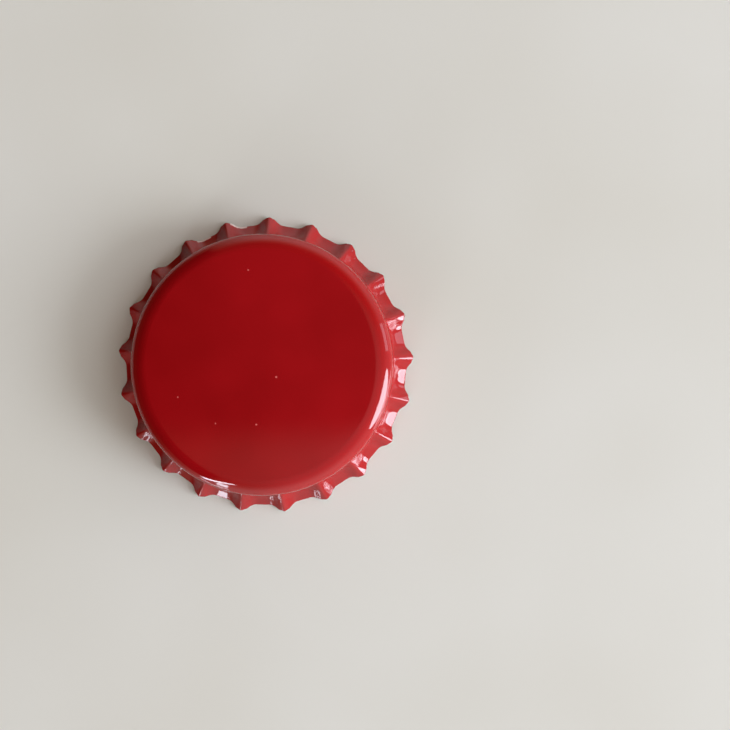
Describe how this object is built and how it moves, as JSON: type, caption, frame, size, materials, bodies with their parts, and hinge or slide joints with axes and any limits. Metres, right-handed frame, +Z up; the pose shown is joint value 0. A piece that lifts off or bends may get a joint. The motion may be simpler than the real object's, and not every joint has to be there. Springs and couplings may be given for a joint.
{
  "type": "bottle cap",
  "caption": "A crown cork: a round pressed tinplate cap with a rolled shoulder, a flared and fluted skirt, and a moulded sealing liner inside.",
  "frame": {"origin": "centre of the open mouth, on the plane that the skirt's edge stands on", "axes": "+Z up the cap's axis towards the panel, +X through one tooth of the skirt"},
  "size_m": [0.0319, 0.032, 0.006],
  "materials": {
    "lacquered_tinplate": "gloss red lacquer outside, bright tinplate inside and on the cut edge",
    "liner_compound": "soft translucent grey-white sealing compound, satin"
  },
  "bodies": {
    "root": {"crown_shell": "lacquered_tinplate", "sealing_liner": "liner_compound"}
  },
  "joints": []
}
